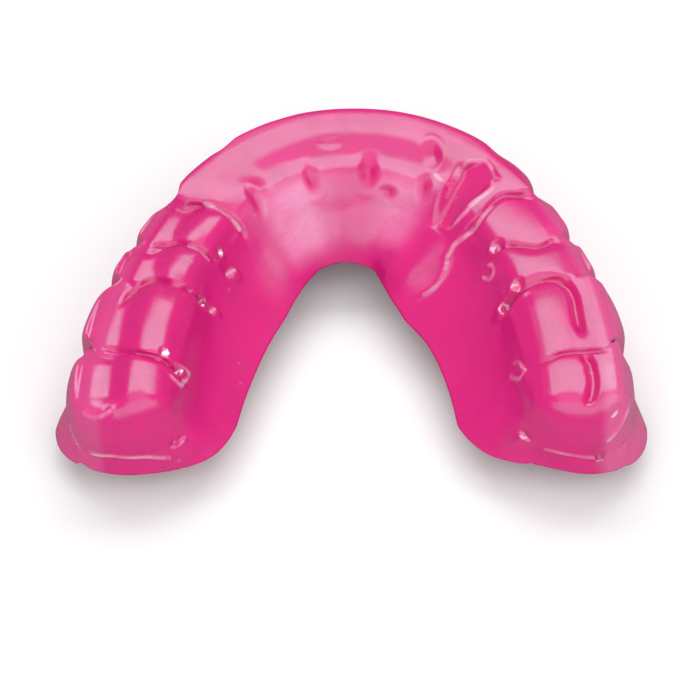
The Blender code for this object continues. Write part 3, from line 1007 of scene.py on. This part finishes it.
def sheet_group():
    """Broad clouds in the sheet, fine lines drawn along it in forming, and a few specks."""
    tree = bpy.data.node_groups.new("Formed sheet", "ShaderNodeTree")
    for name, *_ in RELIEF:
        tree.interface.new_socket(name, in_out="OUTPUT", socket_type="NodeSocketFloat")
    place = node(tree, "ShaderNodeTexCoord", {}).outputs["Object"]
    clouds = node(tree, "ShaderNodeTexNoise", {
        "Vector": place, "Scale": 230.0, "Detail": 5.0, "Roughness": 0.6, "Distortion": 0.4,
    }).outputs["Fac"]
    stretched = node(tree, "ShaderNodeCombineXYZ", {
        "X": product(tree, attribute(tree, "along"), 0.12), "Y": attribute(tree, "reach"),
    }).outputs[0]
    flow = node(tree, "ShaderNodeTexNoise", {
        "Vector": stretched, "Scale": 3.2, "Detail": 6.0, "Roughness": 0.65, "Distortion": 0.25,
    }).outputs["Fac"]
    dots = node(tree, "ShaderNodeTexVoronoi", {"Vector": place, "Scale": 420.0, "Randomness": 1.0})
    small = remap(tree, dots.outputs["Distance"], 0.06, 0.14, 1.0, 0.0)
    some = node(tree, "ShaderNodeMath", {0: clouds, 1: 0.58}, operation="GREATER_THAN").outputs[0]
    specks = product(tree, small, some)
    node(tree, "NodeGroupOutput", {"Clouds": clouds, "Flow": flow, "Specks": specks})
    return tree


def relief_group():
    """The sheet's fine waves, lines and specks, one bump over the other, as a normal."""
    tree = bpy.data.node_groups.new("Sheet relief", "ShaderNodeTree")
    for name, *_ in RELIEF:
        tree.interface.new_socket(name, in_out="INPUT", socket_type="NodeSocketFloat")
    tree.interface.new_socket("Normal", in_out="OUTPUT", socket_type="NodeSocketVector")
    given = tree.nodes.new("NodeGroupInput")
    below = {}
    for name, strength, height in RELIEF:
        bump = node(tree, "ShaderNodeBump", {
            "Strength": strength, "Distance": height * MM, "Height": given.outputs[name], **below,
        })
        below = {"Normal": bump.outputs[0]}
    node(tree, "NodeGroupOutput", below)
    return tree


def sheet_colour(tree, settings, clouds, flow, specks):
    """Deeper in the clouds, with painted shade in the pressed marks, milky where it is thin, with a
    painted highlight along the ridges, and pale on specks.
    """
    deeper = tuple(CLOUD_SHADE * part for part in settings.eva_colour)
    colour = mix_colours(tree, remap(tree, clouds, 0.35, 0.7, 0.0, 1.0), settings.eva_colour, deeper)
    milky = product(tree, attribute(tree, "thin"), remap(tree, flow, 0.3, 0.7, 0.8, 1.1))
    colour = mix_colours(tree, milky, colour, settings.thin_colour)
    # Painted shade: the creases and dimples are darkened in the colour, as their hollows fall dark.
    colour = mix_colours(tree, attribute(tree, "pressed"), colour, settings.painted_shade_colour)
    # Painted highlight: a pale line along the ridges and folds, broken up by the clouds.
    ridge_highlight = remap(tree, attribute(tree, "line"), 0.68, 0.92, 0.0, 1.0)
    broken = remap(tree, clouds, 0.4, 0.62, 0.1, 0.5)
    colour = mix_colours(tree, product(tree, ridge_highlight, broken), colour, settings.ridge_highlight_colour)
    return mix_colours(tree, product(tree, specks, 0.25), colour, settings.thin_colour)


def eva_material(settings):
    """Pink sheet with a formed surface, and a hard gloss on its ledges."""
    material = bpy.data.materials.new("pink_eva")
    material.use_nodes = True
    tree = material.node_tree
    sheet = node(tree, "ShaderNodeGroup", {}, node_tree=sheet_group())
    clouds, flow, specks = sheet.outputs[:3]
    patterns = {"Clouds": clouds, "Flow": flow, "Specks": specks}
    relief = node(tree, "ShaderNodeGroup", patterns, node_tree=relief_group())
    low, high = [settings.roughness + spread for spread in ROUGHNESS_SPREAD]
    feed(tree, tree.nodes["Principled BSDF"], {
        "Base Color": sheet_colour(tree, settings, clouds, flow, specks),
        "Roughness": remap(tree, clouds, 0.3, 0.7, low, high),
        "Normal": relief.outputs[0],
        "Coat Weight": attribute(tree, "glint"),
        "Coat Roughness": 0.08,
        "Coat IOR": 2.6,
        "IOR": 1.68,
        "Specular Tint": (0.05, 1.0, 0.88, 1.0),
    })
    return material


def floor_material(colour):
    """A pale floor, which is darker in the guard's gloss."""
    material = bpy.data.materials.new("floor")
    material.use_nodes = True
    tree = material.node_tree
    pale = tree.nodes["Principled BSDF"]
    feed(tree, pale, {"Base Color": (*colour, 1.0), "Roughness": FLOOR_ROUGHNESS})
    dark = node(tree, "ShaderNodeBsdfDiffuse", {"Color": FLOOR_IN_GLOSS})
    in_gloss = node(tree, "ShaderNodeLightPath", {}).outputs["Is Glossy Ray"]
    mix = node(tree, "ShaderNodeMixShader", {0: in_gloss, 1: pale.outputs[0], 2: dark.outputs[0]})
    feed(tree, tree.nodes["Material Output"], {"Surface": mix.outputs[0]})
    return material


class MouthguardSizes(bpy.types.PropertyGroup):
    """Sizes of the shell and its details."""

    wall: bpy.props.FloatProperty(
        name="Wall", description="Thickness of the sheet over the teeth",
        default=0.0026, min=0.001, max=0.005, subtype="DISTANCE", unit="LENGTH",
    )


class MouthguardColours(bpy.types.PropertyGroup):
    """Colours and gloss."""

    eva_colour: bpy.props.FloatVectorProperty(
        name="EVA", description="Colour of the pressed sheet", subtype="COLOR",
        default=(0.63, 0.009, 0.172), min=0.0, max=1.0,
    )
    thin_colour: bpy.props.FloatVectorProperty(
        name="Thin EVA", description="Colour of the sheet where it was drawn thin",
        subtype="COLOR", default=(0.72, 0.21, 0.4), min=0.0, max=1.0,
    )
    # Painted shade: the darker colour laid into the pressed-in creases and dimples.
    painted_shade_colour: bpy.props.FloatVectorProperty(
        name="Painted crease shade", description="Colour of the sheet where a mark is pressed in",
        subtype="COLOR", default=(0.57, 0.002, 0.135), min=0.0, max=1.0,
    )
    # Painted highlight: the pale colour laid along the ridges and folds.
    ridge_highlight_colour: bpy.props.FloatVectorProperty(
        name="Painted ridge highlight", description="Colour of the sheet along its sharp folds",
        subtype="COLOR", default=(0.86, 0.55, 0.68), min=0.0, max=1.0,
    )
    roughness: bpy.props.FloatProperty(
        name="Roughness", description="How dull the pressed surface is",
        default=0.23, min=0.0, max=1.0, subtype="FACTOR",
    )
    floor_colour: bpy.props.FloatVectorProperty(
        name="Floor", description="Colour of the stage", subtype="COLOR",
        default=(0.77, 0.77, 0.77), min=0.0, max=1.0,
    )


def frame_shift(mesh):
    """What carries a skin to its node's place in the frame."""
    low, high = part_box(NODE)
    points = vertex_array(mesh)
    return np.array([
        (low.x + high.x) / 2.0 - (points[:, 0].min() + points[:, 0].max()) / 2.0,
        high.y - points[:, 1].max(),
        0.0,
    ])


def join_skins(outer, inner):
    """Join the skins, trim them flat for the guard to stand on, and bridge their rims."""
    pick(outer)
    inner.select_set(True)
    bpy.ops.object.join()
    bpy.ops.object.mode_set(mode="EDIT")
    bpy.ops.mesh.select_all(action="SELECT")
    bpy.ops.mesh.bisect(
        plane_co=(0.0, 0.0, 0.0), plane_no=(0.0, 0.0, 1.0), clear_inner=True,
        threshold=TRIM_MARGIN * MM,
    )
    bpy.ops.mesh.select_all(action="DESELECT")
    bpy.ops.mesh.select_mode(type="EDGE")
    bpy.ops.mesh.select_non_manifold(
        extend=False, use_wire=False, use_boundary=True,
        use_multi_face=False, use_non_contiguous=False, use_verts=False,
    )
    bpy.ops.mesh.bridge_edge_loops()
    bpy.ops.mesh.select_all(action="SELECT")
    bpy.ops.mesh.normals_make_consistent(inside=False)
    bpy.ops.object.mode_set(mode="OBJECT")


class MOUTHGUARD_OT_shell(bpy.types.Operator):
    """Build the pressed shell over the teeth and the gum"""

    bl_idname = "mouthguard.shell"
    bl_label = "Build the shell"

    def execute(self, context):
        wall = context.scene.mouthguard_sizes.wall / MM
        outer = skin("mouthguard_shell", loop_sections(FRONT_STATIONS, BACK_STATIONS), 0.0, OUTER_ROUNDING)
        inner = skin("inner_skin", loop_sections(INNER_STATIONS, INNER_STATIONS), wall, INNER_ROUNDING)
        shift = frame_shift(outer.data)
        for obj in (outer, inner):
            set_points(obj.data, vertex_array(obj.data) + shift)
        split_rows(outer, LAST_SPLIT_RING)
        press_crowns(outer.data, shift)
        press_ledges(outer.data)
        press_marks(outer.data)
        join_skins(outer, inner)
        outer.data.shade_smooth()
        outer.data.materials.clear()
        outer.data.materials.append(eva_material(context.scene.mouthguard_colours))
        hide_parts(NODE)
        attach(outer, BODY)
        return {"FINISHED"}


def direction(azimuth, elevation):
    """The way out from the origin: azimuth 0 is the camera's side, -Y, and 90 is +X."""
    turn = math.radians(azimuth)
    rise = math.radians(elevation)
    flat = math.cos(rise)
    return Vector((math.sin(turn) * flat, -math.cos(turn) * flat, math.sin(rise)))


def hang_lamp(collection, lamp):
    """A rectangular softbox that faces the guard."""
    light = bpy.data.lights.new(lamp.name, "AREA")
    light.shape = "RECTANGLE"
    light.size = lamp.width
    light.size_y = lamp.height
    light.energy = lamp.radiance * math.pi * lamp.width * lamp.height
    holder = bpy.data.objects.new(lamp.name, light)
    collection.objects.link(holder)
    out = direction(lamp.azimuth, lamp.elevation)
    holder.location = out * lamp.distance
    holder.rotation_euler = out.to_track_quat("Z", "Y").to_euler()
    holder.visible_camera = False
    holder.visible_glossy = lamp.glossy


def lay_floor(colour):
    deselect_all()
    bpy.ops.mesh.primitive_plane_add(size=FLOOR_SIDE)
    floor = bpy.context.object
    floor.name = "floor"
    floor.data.materials.append(floor_material(colour))


def set_camera(scene):
    camera = bpy.data.cameras.new("camera")
    camera.sensor_width = SENSOR
    camera.lens = SENSOR * FOCAL_PIXELS / FRAME_SIDE
    camera.clip_start, camera.clip_end = CAMERA_RANGE
    holder = bpy.data.objects.new("camera", camera)
    scene.collection.objects.link(holder)
    rows = np.column_stack([*camera_axes(), camera_place() * MM])
    holder.matrix_world = Matrix([*rows.tolist(), (0.0, 0.0, 0.0, 1.0)])
    scene.camera = holder


def light_world(scene):
    world = bpy.data.worlds.new("studio")
    world.use_nodes = True
    inputs = {"Color": WORLD_COLOUR, "Strength": WORLD_STRENGTH}
    feed(world.node_tree, world.node_tree.nodes["Background"], inputs)
    scene.world = world


class MOUTHGUARD_OT_stage(bpy.types.Operator):
    """Lay the floor, hang the lamps and set the camera"""

    bl_idname = "mouthguard.stage"
    bl_label = "Set the stage"

    def execute(self, context):
        lay_floor(context.scene.mouthguard_colours.floor_colour)
        set_camera(context.scene)
        light_world(context.scene)
        for lamp in LAMPS:
            hang_lamp(context.scene.collection, lamp)
        context.scene.view_settings.view_transform = "Standard"
        return {"FINISHED"}


class MOUTHGUARD_PT_panel(bpy.types.Panel):
    """Sizes, colours and steps of the mouthguard"""

    bl_idname = "MOUTHGUARD_PT_panel"
    bl_label = "Mouthguard"
    bl_space_type = "VIEW_3D"
    bl_region_type = "UI"
    bl_category = "Mouthguard"

    def draw(self, context):
        layout = self.layout
        for group in (context.scene.mouthguard_sizes, context.scene.mouthguard_colours):
            for key in group.bl_rna.properties.keys():
                if key not in ("rna_type", "name"):
                    layout.prop(group, key)
        layout.operator("mouthguard.shell")
        layout.operator("mouthguard.stage")


CLASSES = (
    MouthguardSizes,
    MouthguardColours,
    MOUTHGUARD_OT_shell,
    MOUTHGUARD_OT_stage,
    MOUTHGUARD_PT_panel,
)


def register():
    for item in CLASSES:
        bpy.utils.register_class(item)
    bpy.types.Scene.mouthguard_sizes = bpy.props.PointerProperty(type=MouthguardSizes)
    bpy.types.Scene.mouthguard_colours = bpy.props.PointerProperty(type=MouthguardColours)


def unregister():
    del bpy.types.Scene.mouthguard_colours
    del bpy.types.Scene.mouthguard_sizes
    for item in reversed(CLASSES):
        bpy.utils.unregister_class(item)


def main():
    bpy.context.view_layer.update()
    register()
    bpy.ops.mouthguard.shell()
    bpy.ops.mouthguard.stage()


if __name__ == "__main__":
    main()
